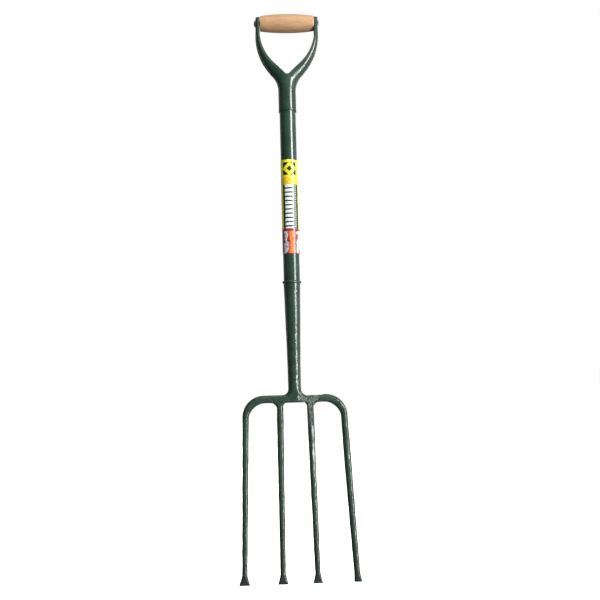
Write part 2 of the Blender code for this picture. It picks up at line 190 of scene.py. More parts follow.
# Soft light boxes: the tall key light in bands, then the rest, all aimed at the shaft
Box = namedtuple("Box", "name azimuth elevation distance width height radiance target_z mirrored")
KEY_AZIMUTH = 47.5
KEY_DISTANCE = 2.2
KEY_WIDTH = 0.78
KEY_BANDS = (("key_upper", 1.05, 1.70, 17.0), ("key_middle", 0.47, 1.05, 11.0),
             ("key_neck", 0.21, 0.47, 3.0), ("key_root", 0.04, 0.21, 26.0), ("key_lower", -0.50, 0.04, 8.0))
BOXES = [Box(name, KEY_AZIMUTH, 0, KEY_DISTANCE, KEY_WIDTH, top - bottom, radiance,
             0.5 * (bottom + top), True)
         for name, bottom, top, radiance in KEY_BANDS]
BOXES += [Box("rim_left", -123, 10, 2.2, 0.20, 1.8, 1.1, 0.60, True),
          Box("rim_back", 152, 15, 2.2, 0.30, 1.8, 2.5, 0.60, True),
          Box("top", -10, 55, 2.4, 2.6, 1.4, 1.2, 0.50, True),
          Box("fill_left", -50, 25, 2.6, 1.2, 1.6, 1.3, 0.50, False),
          Box("fill_right", 50, 20, 2.6, 1.6, 1.6, 3.6, 0.50, False),
          Box("fill_back", 180, 30, 2.6, 2.6, 1.8, 4.5, 0.50, False)]


def lerp(start, end, share):
    return start + (end - start) * share


def smooth(share):
    share = min(1.0, max(0.0, share))
    return share * share * (3 - 2 * share)


# ---------------------------------------------------------------- meshes

def add_piece(name, bm, material, body, nodes, sharp_angle=40):
    """Turns a finished mesh into a piece of the fork that stands for some CAD nodes."""
    bmesh.ops.recalc_face_normals(bm, faces=bm.faces)
    bm.transform(Matrix.Translation((0.0, AXIS_Y, 0.0)))
    mesh = bpy.data.meshes.new(name)
    bm.to_mesh(mesh)
    bm.free()
    mesh.shade_smooth()
    mesh.set_sharp_from_angle(angle=math.radians(sharp_angle))
    mesh.materials.append(material)
    piece = bpy.data.objects.new(name, mesh)
    bpy.context.scene.collection.objects.link(piece)
    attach(piece, body)
    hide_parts(*nodes)
    return piece


def skin(bm, rings):
    """Adds a closed solid skinned over rings of the same number of points."""
    rows = [[bm.verts.new(point) for point in ring] for ring in rings]
    count = len(rows[0])
    bm.faces.new(rows[0])
    bm.faces.new(list(reversed(rows[-1])))
    for lower, upper in zip(rows, rows[1:]):
        for i in range(count):
            j = (i + 1) % count
            bm.faces.new((lower[j], lower[i], upper[i], upper[j]))


def turned(profile, wobble=None):
    """A closed (radius, height) profile turned about Z; wobble(turn, height) scales the radius."""
    bm = bmesh.new()
    columns = []
    for step in range(ROUND_STEPS):
        turn = 2 * math.pi * step / ROUND_STEPS
        column = []
        for radius, height in profile:
            reach = radius * (wobble(turn, height) if wobble else 1.0)
            column.append(bm.verts.new((reach * math.cos(turn), reach * math.sin(turn), height)))
        columns.append(column)
    for one, other in zip(columns, columns[1:] + columns[:1]):
        for i in range(len(profile)):
            j = (i + 1) % len(profile)
            bm.faces.new((one[i], other[i], other[j], one[j]))
    bmesh.ops.remove_doubles(bm, verts=bm.verts, dist=0.00002)
    return bm


def lie_along_x(bm):
    """Turns a piece made about Z onto the grip's axis, its top end to the right."""
    place = Matrix.Translation((HILT_LEAN, 0.0, GRIP_AXIS_Z))
    bm.transform(place @ Matrix.Rotation(math.radians(90), 4, "Y"))


def lean_hilt(bm):
    for vertex in bm.verts:
        rise = (vertex.co.z - SOCKET_TOP) / (GRIP_AXIS_Z - SOCKET_TOP)
        vertex.co.x += HILT_LEAN * min(1.0, max(0.0, rise))


def steps_between(start, end, count):
    return [lerp(start, end, step / count) for step in range(count + 1)]


def uneven(depth, lumps, length, base=1.0):
    """A wobble for turned: depth is a share of the radius, and length is that of a lump along the piece."""
    def wobble(turn, height):
        spot = Vector((lumps * math.cos(turn), lumps * math.sin(turn), height / length))
        return base + depth * noise.noise(spot)
    return wobble


def tube_mesh():
    inner = TUBE_RADIUS - TUBE_WALL
    bottom = TUBE_BOTTOM - SINK
    outside = [(TUBE_RADIUS, z) for z in steps_between(TUBE_TOP, bottom, 70)]
    return turned(outside + [(inner, bottom), (inner, TUBE_TOP)], uneven(0.0022, 1.0, 0.030))


def label_mesh():
    """A sleeve of printed film with edges that lie down on the paint."""
    film = 0.0001
    slope = 0.0005
    inner = TUBE_RADIUS - film
    edge = TUBE_RADIUS + film
    outside = [(LABEL_RADIUS, z) for z in steps_between(LABEL_TOP - slope, LABEL_BOTTOM + slope, 30)]
    profile = [(inner, LABEL_TOP), (edge, LABEL_TOP)] + outside
    profile += [(edge, LABEL_BOTTOM), (inner, LABEL_BOTTOM)]
    return turned(profile, uneven(0.0020, 1.4, 0.020))


def bead_mesh():
    """The weld round the neck: a rounded ring with the ripples of its passes."""
    inner = TUBE_RADIUS - TUBE_WALL
    middle = 0.5 * (BEAD_TOP + BEAD_BOTTOM)
    half = 0.5 * (BEAD_TOP - BEAD_BOTTOM) + 0.0006
    bulge = BEAD_RADIUS - TUBE_RADIUS
    profile = [(inner, middle + half)]
    for step in range(17):
        turn = math.radians(90 - 180 * step / 16)
        profile.append((TUBE_RADIUS + bulge * math.cos(turn), middle + half * math.sin(turn)))
    profile.append((inner, middle - half))

    def wobble(turn, height):
        ripple = 0.010 * math.sin(26 * turn + 3 * noise.noise(Vector((2 * turn, 0.0, 0.0))))
        lump = 0.030 * noise.noise(Vector((3 * math.cos(turn), 3 * math.sin(turn), height / 0.002)))
        off_middle = abs(height - middle) / half
        return 1.0 - 0.012 + (ripple + lump) * (1 - off_middle ** 2)

    return turned(profile, wobble)


def socket_mesh():
    inner = TUBE_RADIUS + 0.0002
    lip = SOCKET_RADIUS + LIP_STEP
    body = [(SOCKET_RADIUS, z) for z in steps_between(SOCKET_TOP, SOCKET_BOTTOM + 1.5 * LIP_HEIGHT, 30)]
    rim = [(SOCKET_RADIUS - 0.0005, SOCKET_BOTTOM + 1.25 * LIP_HEIGHT),
           (SOCKET_RADIUS - 0.0005, SOCKET_BOTTOM + LIP_HEIGHT),
           (lip, SOCKET_BOTTOM + 0.75 * LIP_HEIGHT),
           (lip, SOCKET_BOTTOM + 0.25 * LIP_HEIGHT),
           (SOCKET_RADIUS - 0.0003, SOCKET_BOTTOM)]
    return turned(body + rim + [(inner, SOCKET_BOTTOM), (inner, SOCKET_TOP)])


def arm_line():
    """The right arm's inner face from socket to eye: (x, z, lean, width, depth, above the split) rows."""
    rows = []
    socket_depth = 2 * SOCKET_RADIUS
    for share in steps_between(0.0, 1.0, BEND_STEPS):
        lean = ARM_SPREAD * share
        to_middle = LOWER_BEND * (1 / math.cos(lean) - 1)
        to_split = LOWER_BEND * (math.sqrt(2) / (math.sin(lean) + math.cos(lean)) - 1)
        reach = min(to_middle, to_split)
        x = LOWER_BEND * (1 - math.cos(lean)) - reach * math.cos(lean)
        z = SOCKET_TOP + LOWER_BEND * math.sin(lean) + reach * math.sin(lean)
        width = lerp(SOCKET_RADIUS, CROTCH_ARM_WIDTH, share) + reach
        depth = lerp(socket_depth, CROTCH_DEPTH_SHARE * socket_depth, share)
        rows.append((x, z, lean, width, depth, 0.0))
    lower_x, lower_z = rows[-1][0], rows[-1][1]
    run = (EYE_X - lower_x - UPPER_BEND * (1 - math.cos(ARM_SPREAD))) / math.sin(ARM_SPREAD)
    bend_top = lower_z + run * math.cos(ARM_SPREAD) + UPPER_BEND * math.sin(ARM_SPREAD)
    bend_x = EYE_X - UPPER_BEND * (1 - math.cos(ARM_SPREAD))
    bend_z = bend_top - UPPER_BEND * math.sin(ARM_SPREAD)
    for share in steps_between(0.0, 1.0, 6)[1:-1]:
        x = lerp(lower_x, bend_x, share)
        z = lerp(lower_z, bend_z, share)
        width = lerp(CROTCH_ARM_WIDTH, CROTCH_DEPTH_SHARE * CROTCH_ARM_WIDTH, share)
        depth = lerp(CROTCH_DEPTH_SHARE, BEND_DEPTH_SHARE, share) * socket_depth
        rows.append((x, z, ARM_SPREAD, width, depth, 0.4 * share))
    for share in steps_between(1.0, 0.0, BEND_STEPS):
        lean = ARM_SPREAD * share
        x = EYE_X - UPPER_BEND * (1 - math.cos(lean))
        z = bend_top - UPPER_BEND * math.sin(lean)
        width = lerp(EYE_WIDTH, CROTCH_DEPTH_SHARE * CROTCH_ARM_WIDTH, share ** 1.2)
        rows.append((x, z, lean, width, lerp(EYE_DEPTH, BEND_DEPTH_SHARE * socket_depth, share), 1.0))
    rows.append((EYE_X, GRIP_AXIS_Z, 0.0, EYE_WIDTH, EYE_DEPTH, 1.0))
    return rows


def part_round(width, half_depth, start, lip, steps):
    """(across, deep) points of an arc from back edge to front edge: half an oval at start 0, more below."""
    points = []
    for step in range(steps + 1):
        turn = lerp(start, math.pi - start, step / steps)
        across = lip + (width - lip) * (math.sin(turn) - math.sin(start)) / (1 - math.sin(start))
        points.append((across, half_depth * math.cos(turn) / math.cos(max(start, 0.0))))
    return points


def channel_ring(x, z, lean, width, depth, rounding, start, hollow, side):
    """A C-shaped section of an arm, open towards the grip, with rounded lips where rounding is 1."""
    wall = min(ARM_WALL, 0.6 * width, 0.35 * depth)
    lip = LIP_ROLL * wall * rounding
    half = 0.5 * depth
    outside = part_round(width, half, start, lip, ROUND_STEPS // 2)
    inside = part_round(max(lip + 0.0001, (width - wall) * hollow), half - wall, start, lip, 24)
    front_lip = []
    for step in range(1, 6):
        turn = math.pi * step / 6
        front_lip.append((lip - lip * math.sin(turn), 0.5 * wall * (1 - math.cos(turn)) - half))
    back_lip = [(across, -deep) for across, deep in reversed(front_lip)]
    outward = Vector((side * math.cos(lean), 0.0, -math.sin(lean)))
    inner_face = Vector((side * x, 0.0, z))
    section = outside + front_lip + list(reversed(inside)) + back_lip
    return [inner_face + outward * across + Vector((0.0, deep, 0.0)) for across, deep in section]


def arm_mesh(side):
    rings = []
    for x, z, lean, width, depth, rounding in arm_line():
        start = ARC_START * smooth((z - SPLIT_Z) / 0.030)
        rings.append(channel_ring(x, z, lean, width, depth, rounding, start, 1.0, side))
    for step in range(1, 15):
        turn = math.radians(6) * step
        z = GRIP_AXIS_Z + 0.5 * EYE_DEPTH * math.sin(turn)
        depth = EYE_DEPTH * math.cos(turn)
        width = EYE_WIDTH * (1 - 0.12 * (step / 14) ** 3)
        rings.append(channel_ring(EYE_X, z, 0.0, width, depth, 1.0, ARC_START, 0.7, side))
    bm = bmesh.new()
    skin(bm, rings)
    lean_hilt(bm)
    return bm


def web_mesh():
    """The wedge in the crotch, flat on top with its edges eased."""
    half_depth = 0.5 * (1 + CROTCH_DEPTH_SHARE) * SOCKET_RADIUS - 0.0004
    top = CROTCH_TOP - WEB_EASE
    rings = []
    for z, inset in ((SPLIT_Z + 0.0004, 0.0), (lerp(SPLIT_Z, top, 0.5), 0.0), (top - WEB_EASE, 0.0),
                     (top - 0.3 * WEB_EASE, 0.3 * WEB_EASE), (top, WEB_EASE)):
        half_width = z - SPLIT_Z + WEB_OVERLAP
        rings.append([(half_width, half_depth - inset, z), (-half_width, half_depth - inset, z),
                      (-half_width, inset - half_depth, z), (half_width, inset - half_depth, z)])
    bm = bmesh.new()
    skin(bm, rings)
    lean_hilt(bm)
    return bm


def grip_mesh():
    """The turned grip, with eased ends and the faint flats of hand sanding."""
    half = GRIP_HALF
    bore = ROD_RADIUS + 0.0003
    profile = [(bore, half)]
    for step in range(6):
        turn = math.radians(90 - 18 * step)
        profile.append((GRIP_END_RADIUS - GRIP_ROUND_OVER * (1 - math.cos(turn)),
                        half - GRIP_ROUND_OVER * (1 - math.sin(turn))))
    for height in steps_between(half - GRIP_ROUND_OVER, GRIP_ROUND_OVER - half, 60)[1:-1]:
        swell = 1 - (height / half) ** 2
        profile.append((lerp(GRIP_END_RADIUS, GRIP_RADIUS, swell), height))
    for step in range(6):
        turn = math.radians(18 * step)
        profile.append((GRIP_END_RADIUS - GRIP_ROUND_OVER * (1 - math.cos(turn)),
                        GRIP_ROUND_OVER * (1 - math.sin(turn)) - half))
    profile.append((bore, -half))
    bm = turned(profile, uneven(0.008, 1.6, 0.035, 0.985))
    lie_along_x(bm)
    return bm


def rod_mesh():
    """The rod through grip and eyes: domed head on the left, hammered over on the right."""
    seat = EYE_X + EYE_WIDTH
    head_height = ROD_LEFT - seat
    peened_height = ROD_RIGHT - seat
    profile = [(0.0, ROD_RIGHT), (0.35 * PEENED_RADIUS, ROD_RIGHT - 0.05 * peened_height),
               (0.7 * PEENED_RADIUS, ROD_RIGHT - 0.2 * peened_height),
               (0.92 * PEENED_RADIUS, ROD_RIGHT - 0.5 * peened_height),
               (PEENED_RADIUS, seat + 0.15 * peened_height), (0.97 * PEENED_RADIUS, seat - SINK),
               (ROD_RADIUS, seat - SINK), (ROD_RADIUS, -seat + SINK), (0.97 * HEAD_RADIUS, -seat + SINK)]
    for step in range(1, 12):
        turn = math.radians(90) * step / 12
        profile.append((HEAD_RADIUS * math.cos(turn), -seat - head_height * math.sin(turn)))
    profile.append((0.0, -ROD_LEFT))

    def wobble(turn, height):
        at_end = smooth((height - seat) / 0.0005)
        spot = Vector((1.5 * math.cos(turn), 1.5 * math.sin(turn), height / 0.001))
        return 1.0 + 0.06 * at_end * noise.noise(spot)

    bm = turned(profile, wobble)
    lie_along_x(bm)
    return bm


def bar_ring(centre, tilt, half_across, half_deep, side, chamfer_share=CHAMFER_SHARE):
    """An eight-cornered section of a forged bar; tilt 0 sets its width upright, 90 degrees outward."""
    across = Vector((side * math.sin(tilt), 0.0, math.cos(tilt)))
    deep = Vector((0.0, 1.0, 0.0))
    chamfer = 2 * chamfer_share * min(half_across, half_deep)
    corners = ((half_across, half_deep - chamfer), (half_across - chamfer, half_deep),
               (chamfer - half_across, half_deep), (-half_across, half_deep - chamfer),
               (-half_across, chamfer - half_deep), (chamfer - half_across, -half_deep),
               (half_across - chamfer, -half_deep), (half_across, chamfer - half_deep))
    return [Vector(centre) + across * u + deep * v for u, v in corners]


def oval_ring(z, half_x, half_y, squareness):
    power = 2.0 / squareness
    ring = []
    for i in range(48):
        turn = 2 * math.pi * i / 48
        x = math.copysign(abs(math.cos(turn)) ** power, math.cos(turn)) * half_x
        y = math.copysign(abs(math.sin(turn)) ** power, math.sin(turn)) * half_y
        ring.append((x, y, z))
    return ring


def forward(z):
    """How far a tine's middle is in front of the shaft at a height."""
    drop = max(0.0, (CROSS_BOTTOM - z) / CROSS_BOTTOM)
    return -TINE_REACH * (LEAN_SHARE * drop + (1 - LEAN_SHARE) * drop * drop)


def tine_half_width(z):
    return 0.5 * lerp(TINE_TOE_WIDTH, TINE_TOP_WIDTH, (z / CROSS_BOTTOM) ** 1.2)


def twisted(ring, angle):
    """A level ring turned about its own middle."""
    middle = sum(ring, Vector()) / len(ring)
    turn = Matrix.Rotation(angle, 3, "Z")
    return [middle + turn @ (point - middle) for point in ring]


def blade_rings(tine, root_x, root_z):
    """Rings of a tine from its root to the flare of its toe, drifting a little as forged bars do."""
    bar = TINES[tine]
    seed = 10.0 * list(TINES).index(tine)
    rings = []
    for share in steps_between(0.0, 1.0, 36):
        z = lerp(root_z, TOE_HEIGHT, share)
        drift = 0.0004 * noise.noise(Vector((seed, 0.0, z / 0.034))) * min(1.0, 8 * share)
        x = lerp(bar.toe_x, root_x, z / root_z) + drift
        swell = 1.0 + 0.05 * noise.noise(Vector((seed, 5.0, z / 0.022)))
        half = tine_half_width(z) * lerp(1.0, bar.scale, smooth(4 * share))
        ring = bar_ring((bar.side * x, forward(z), z), math.radians(90), half * swell, half, bar.side)
        rings.append(twisted(ring, bar.twist * (1 - share) * smooth(8 * share)))
    for share in steps_between(0.0, 1.0, 6)[1:]:
        z = TOE_HEIGHT * (1 - share)
        x = lerp(bar.toe_x, root_x, z / root_z) + bar.toe_shift * share
        half_across = lerp(0.5 * bar.scale * TINE_TOE_WIDTH, 0.5 * bar.toe_width, share ** 1.1)
        half_deep = lerp(0.5 * TINE_TOE_WIDTH, 0.5 * TOE_DEPTH, share)
        middle = (bar.side * x, forward(z), z)
        rings.append(bar_ring(middle, math.radians(90), half_across, half_deep, bar.side))
    return rings


def outer_tine_rings(tine):
    """The bar runs out from the lap, round its shoulder and down to the toe."""
    side = TINES[tine].side
    start = (side * (LAP_X - 0.006), 0.0, CROSS_MIDDLE)
    rings = [bar_ring(start, 0.0, CROSS_HALF_TALL, CROSS_HALF_DEPTH, side)]
    bend_x = TINES[tine].root_x - SHOULDER_BEND
    bend_z = CROSS_MIDDLE - SHOULDER_BEND
    splay = math.atan2(TINES[tine].toe_x - TINES[tine].root_x, bend_z)
    for share in steps_between(0.0, 1.0, 20):
        turn = (0.5 * math.pi - splay) * share
        thickening = SHOULDER_SWELL * math.sin(math.pi * share)
        x = bend_x + (SHOULDER_BEND - thickening) * math.sin(turn)
        z = bend_z + (SHOULDER_BEND - thickening) * math.cos(turn)
        half = lerp(CROSS_HALF_TALL, tine_half_width(bend_z), share) + thickening
        half_deep = lerp(CROSS_HALF_DEPTH, tine_half_width(bend_z), share)
        rings.append(bar_ring((side * x, forward(z), z), turn, half, half_deep, side))
    end_x = bend_x + SHOULDER_BEND * math.cos(splay)
    end_z = bend_z + SHOULDER_BEND * math.sin(splay)
    return rings + blade_rings(tine, end_x, end_z)[1:]


def inner_tine_rings(tine):
    side = TINES[tine].side
    top = bar_ring((side * INNER_ROOT_X, 0.0, CROSS_MIDDLE), math.radians(90), 0.5 * TINE_TOP_WIDTH,
                   0.5 * TINE_TOP_WIDTH, side)
    return [top] + blade_rings(tine, INNER_ROOT_X, CROSS_BOTTOM)


def root_weld_rings(side):
    """The fillet round an inner tine under the crosshead, heavier on its outer side."""
    rings = []
    for share in steps_between(0.0, 1.0, 12):
        z = lerp(CROSS_BOTTOM - WELD_HEIGHT, CROSS_BOTTOM + 0.003, share)
        drop = (CROSS_BOTTOM - z) / WELD_HEIGHT
        outward = OUTER_FILLET * max(0.0, 1 - drop) ** 1.5
        inward = INNER_FILLET * max(0.0, 1 - 1.4 * drop) ** 1.5
        half = tine_half_width(z)
        centre = (side * (INNER_ROOT_X + 0.5 * (outward - inward)), forward(z), z)
        half_across = half + 0.5 * (outward + inward)
        rings.append(bar_ring(centre, math.radians(90), half_across, half + 0.1 * outward, side, 0.3))
    return rings


def crosshead_rings():
    rings = []
    for x in steps_between(-LAP_X - 0.004, LAP_X + 0.004, 12):
        rings.append(bar_ring((x, 0.0, CROSS_MIDDLE), 0.0, CROSS_HALF_TALL, CROSS_HALF_DEPTH, 1, 0.16))
    return rings


def neck_rings():
    rings = []
    for share in steps_between(0.0, 1.0, 40):
        z = lerp(BEAD_BOTTOM + 0.0015, NECK_WAIST_Z, share)
        radius = lerp(NECK_WAIST_RADIUS, NECK_TOP_RADIUS, (1 - share) ** 1.35)
        rings.append(oval_ring(z, radius, radius, 2.0))
    for step in range(1, 9):
        turn = math.radians(10) * step
        z = NECK_WAIST_Z - NECK_FILLET_DROP - NECK_FILLET * math.sin(turn)
        half_x = NECK_WAIST_RADIUS + NECK_FILLET * (1 - math.cos(turn))
        half_y = lerp(NECK_WAIST_RADIUS, CROSS_HALF_DEPTH, 0.1 * step)
        rings.append(oval_ring(z, half_x, half_y, 2.0 + 0.12 * step))
    foot_radius = NECK_WAIST_RADIUS + NECK_FILLET
    rings.append(oval_ring(CROSS_BOTTOM + 0.003, foot_radius, CROSS_HALF_DEPTH - 0.0003, 3.0))
    return rings


def dent(point):
    """How far the hammer and the scale left the surface above or below its plain shape."""
    stretched = Vector((point.x, point.y, 0.5 * point.z))
    weld = math.exp(-((point.x - 0.020) / 0.016) ** 2 - ((point.z - CROSS_MIDDLE) / 0.020) ** 2)
    if point.z < CROSS_BOTTOM:
        height = TINE_DENT * noise.noise(stretched / TINE_DENT_SIZE)
    else:
        height = lerp(HEAD_DENT, WELD_DENT, weld) * noise.noise(stretched / HEAD_DENT_SIZE)
    height += lerp(PITTING, WELD_PITTING, weld) * noise.noise(point / PIT_SIZE)
    if point.z > CROSS_BOTTOM - 0.004:
        off_lap = abs(point.x) - LAP_X - LAP_SLOPE * (point.z - CROSS_MIDDLE)
        depth = LAP_DEPTH_RIGHT if point.x > 0 else LAP_DEPTH_LEFT
        height -= depth * math.exp(-(off_lap / LAP_CREASE) ** 2)
    return height


def dip(point):
    """How far the right half of the crosshead sags between the neck and the lap."""
    along = smooth((point.x - SAG_START) / 0.010) * (1 - smooth((point.x - LAP_X) / 0.008))
    upward = smooth((point.z - CROSS_BOTTOM) / 0.010) * (1 - smooth((point.z - CROSS_TOP) / 0.006))
    return SAG * along * upward


def forged_mesh():
    """Neck, crosshead and tines fused into one skin, eased at every joint and hammered."""
    rough = bmesh.new()
    solids = [neck_rings(), crosshead_rings(), root_weld_rings(-1), root_weld_rings(1)]
    for tine in TINES:
        solids.append(outer_tine_rings(tine) if "outer" in tine else inner_tine_rings(tine))
    for rings in solids:
        skin(rough, rings)
    bmesh.ops.recalc_face_normals(rough, faces=rough.faces)
    mesh = bpy.data.meshes.new("rough_head")
    rough.to_mesh(mesh)
    rough.free()
    blank = bpy.data.objects.new("rough_head", mesh)
    bpy.context.scene.collection.objects.link(blank)
    remesh = blank.modifiers.new("fuse", "REMESH")
    remesh.mode = "VOXEL"
    remesh.voxel_size = VOXEL
    graph = bpy.context.evaluated_depsgraph_get()
    fused = bpy.data.meshes.new_from_object(blank.evaluated_get(graph))
    bpy.data.objects.remove(blank)
    bm = bmesh.new()
    bm.from_mesh(fused)
    above_toes = [vertex for vertex in bm.verts if vertex.co.z > TOE_HEIGHT]
    for verts in (bm.verts, above_toes, above_toes):
        bmesh.ops.smooth_vert(bm, verts=verts, factor=0.5,
                              use_axis_x=True, use_axis_y=True, use_axis_z=True)
    bm.normal_update()
    for vertex in bm.verts:
        vertex.co += vertex.normal * dent(vertex.co)
        vertex.co.z = max(0.0, vertex.co.z - dip(vertex.co))
    return bm


def keep_side(bm, point, normal):
    """Cuts a mesh on a plane, drops what is on the normal's side and closes the cut."""
    everything = bm.verts[:] + bm.edges[:] + bm.faces[:]
    bmesh.ops.bisect_plane(bm, geom=everything, plane_co=point, plane_no=normal, clear_outer=True)
    rim = [edge for edge in bm.edges if edge.is_boundary]
    bmesh.ops.holes_fill(bm, edges=rim)


def forged_pieces(material_of):
    """Cuts the fused head into the neck with its crosshead, and one piece for each tine."""
    whole = forged_mesh()
    cuts = {"forged_neck": [((CUT_X, 0, 0), (1, 0, 0)), ((-CUT_X, 0, 0), (-1, 0, 0)),
                            ((0, 0, CUT_Z), (0, 0, -1))]}
    for tine, bar in TINES.items():
        if "outer" in tine:
            cuts[tine] = [((bar.side * CUT_X, 0, 0), (-bar.side, 0, 0))]
        else:
            cuts[tine] = [((bar.side * CUT_X, 0, 0), (bar.side, 0, 0)), ((0, 0, 0), (-bar.side, 0, 0)),
                          ((0, 0, CUT_Z), (0, 0, 1))]
    for name, planes in cuts.items():
        bm = whole.copy()
        for point, normal in planes:
            keep_side(bm, point, normal)
        nodes = [name]
        if name == "forged_neck":
            nodes += ["tine_weld_left", "tine_weld_right"]
        add_piece(name + "_skin", bm, material_of(name), "fork", nodes, 70)
    whole.free()


# ---------------------------------------------------------------- materials

def socket_of(sockets, identifier):
    return next(socket for socket in sockets if socket.identifier == identifier)


def set_stops(node, stops):
    """Gives a colour ramp its (position, colour or grey level) stops."""
    elements = node.color_ramp.elements
    while len(elements) < len(stops):
        elements.new(1.0)
    for element, (position, colour) in zip(elements, stops):
        element.position = position
        element.color = (*colour, 1.0) if isinstance(colour, tuple) else (colour, colour, colour, 1.0)


class Shading:
    """A new material's node tree, with short ways to add the nodes used here."""

    def __init__(self, name):
        self.material = bpy.data.materials.new(name)
        self.material.use_nodes = True
        self.tree = self.material.node_tree
        self.shader = self.tree.nodes["Principled BSDF"]
        self.coordinates = self.tree.nodes.new("ShaderNodeTexCoord").outputs["Object"]

    def link(self, source, target):
        if isinstance(source, (int, float, tuple)):
            target.default_value = source
        else:
            self.tree.links.new(source, target)

    def scaled(self, x, y, z):
        """Object coordinates, multiplied on each axis."""
        node = self.tree.nodes.new("ShaderNodeMapping")
        node.inputs["Scale"].default_value = (x, y, z)
        self.link(self.coordinates, node.inputs["Vector"])
        return node.outputs["Vector"]

    def noise(self, size, detail=3.0, roughness=0.5, where=None):
        """A 0 to 1 noise whose blotches are about size metres across."""
        node = self.tree.nodes.new("ShaderNodeTexNoise")
        node.inputs["Scale"].default_value = 1.0 / size
        node.inputs["Detail"].default_value = detail
        node.inputs["Roughness"].default_value = roughness
        self.link(where or self.coordinates, node.inputs["Vector"])
        return node.outputs["Fac"]

    def ramp(self, factor, *stops):
        node = self.tree.nodes.new("ShaderNodeValToRGB")
        set_stops(node, stops)
        self.link(factor, node.inputs["Fac"])
        return node.outputs["Color"]

    def mix(self, factor, first, second, mode="MIX"):
        node = self.tree.nodes.new("ShaderNodeMix")
        node.data_type = "RGBA"
        node.blend_type = mode
        for name, value in (("Factor_Float", factor), ("A_Color", first), ("B_Color", second)):
            if isinstance(value, tuple):
                value = (*value, 1.0)
            self.link(value, socket_of(node.inputs, name))
        return socket_of(node.outputs, "Result_Color")

    def math(self, operation, first, second=0.0, third=0.0):
        node = self.tree.nodes.new("ShaderNodeMath")
        node.operation = operation
        for value, socket in zip((first, second, third), node.inputs):
            self.link(value, socket)
        return node.outputs["Value"]

    def axis(self, letter):
        node = self.tree.nodes.new("ShaderNodeSeparateXYZ")
        self.link(self.coordinates, node.inputs["Vector"])
        return node.outputs[letter]

    def between(self, value, low, high, soft=0.0003):
        """1 where a value lies between two limits, with edges as soft as ink."""
        rise = self.math("MULTIPLY_ADD", value, 1.0 / soft, -low / soft)
        fall = self.math("MULTIPLY_ADD", value, -1.0 / soft, high / soft)
        inside = self.math("MINIMUM", rise, fall)
        node = self.tree.nodes.new("ShaderNodeClamp")
        self.link(inside, node.inputs["Value"])
        return node.outputs["Result"]

    def bump(self, height, distance, under=None):
        """A normal bent by a height, over another bump where one is given."""
        node = self.tree.nodes.new("ShaderNodeBump")
        node.inputs["Strength"].default_value = 1.0
        node.inputs["Distance"].default_value = distance
        self.link(height, node.inputs["Height"])
        if under is not None:
            self.link(under, node.inputs["Normal"])
        return node.outputs["Normal"]

    def edges(self, low, high):
        """1 on worn convex edges and 0 elsewhere."""
        node = self.tree.nodes.new("ShaderNodeNewGeometry")
        return self.ramp(node.outputs["Pointiness"], (low, 0.0), (high, 1.0))

    def finish(self, colour, roughness, normal, rough_coat=False, **constants):
        """Links the surface up; constants are shader sockets by name, such as coat_weight."""
        self.link(colour, self.shader.inputs["Base Color"])
        self.link(roughness, self.shader.inputs["Roughness"])
        self.link(normal, self.shader.inputs["Normal"])
        if rough_coat:
            self.link(normal, self.shader.inputs["Coat Normal"])
        for name, value in constants.items():
            self.shader.inputs[name.replace("_", " ").title().replace("Ior", "IOR")].default_value = value
        return self.material


PAINT_DEEP = (0.014, 0.034, 0.022)
PAINT_FRESH = (0.020, 0.058, 0.037)
PAINT_WORN = (0.080, 0.105, 0.088)
# painted shade: the dark that the lowest parts of the tines are given, not a colour of the paint
PAINT_TOE_SHADE = (0.006, 0.012, 0.008)
PAINT_BROWN = (0.040, 0.036, 0.022)


def gloss_paint(name):
    """Enamel on drawn and pressed steel: nearly smooth, with dust specks and faint haze."""
    look = Shading(name)
    tone = look.ramp(look.noise(0.030, 4.0), (0.35, PAINT_DEEP), (0.65, PAINT_FRESH))
    dust = look.ramp(look.noise(0.0016, 2.0), (0.66, 0.0), (0.74, 0.5))
    tone = look.mix(dust, tone, PAINT_WORN)
    rough = look.ramp(look.noise(0.012, 4.0, 0.6), (0.3, 0.16), (0.7, 0.30))
    peel = look.bump(look.noise(0.0050, 1.0), 0.000008)
    waves = look.bump(look.noise(0.018, 0.0), 0.00008, peel)
    return look.finish(tone, rough, waves, coat_weight=0.85, coat_roughness=0.12, specular_ior_level=0.4)


def weld_ripples(look, centre, radius):
    """Heights of slanting weld ripples in a ball round a point; each drops to the right, then steps up."""
    pitch = 0.0062
    slope = 0.38
    drift = look.math("MULTIPLY", look.noise(0.008, 3.0, 0.6), 3.0)
    slanted = look.math("MULTIPLY_ADD", look.axis("Z"), 0.8, look.axis("X"))
    cycle = look.math("FRACT", look.math("MULTIPLY_ADD", slanted, 1.0 / pitch, drift))
    height = look.math("MULTIPLY", cycle, -slope * pitch)
    gap = look.tree.nodes.new("ShaderNodeVectorMath")
    gap.operation = "DISTANCE"
    look.link(look.coordinates, gap.inputs[0])
    gap.inputs[1].default_value = centre
    nearness = look.ramp(look.math("MULTIPLY", gap.outputs["Value"], 1.0 / radius), (0.45, 1.0), (1.0, 0.0))
    return look.math("MULTIPLY", height, nearness)


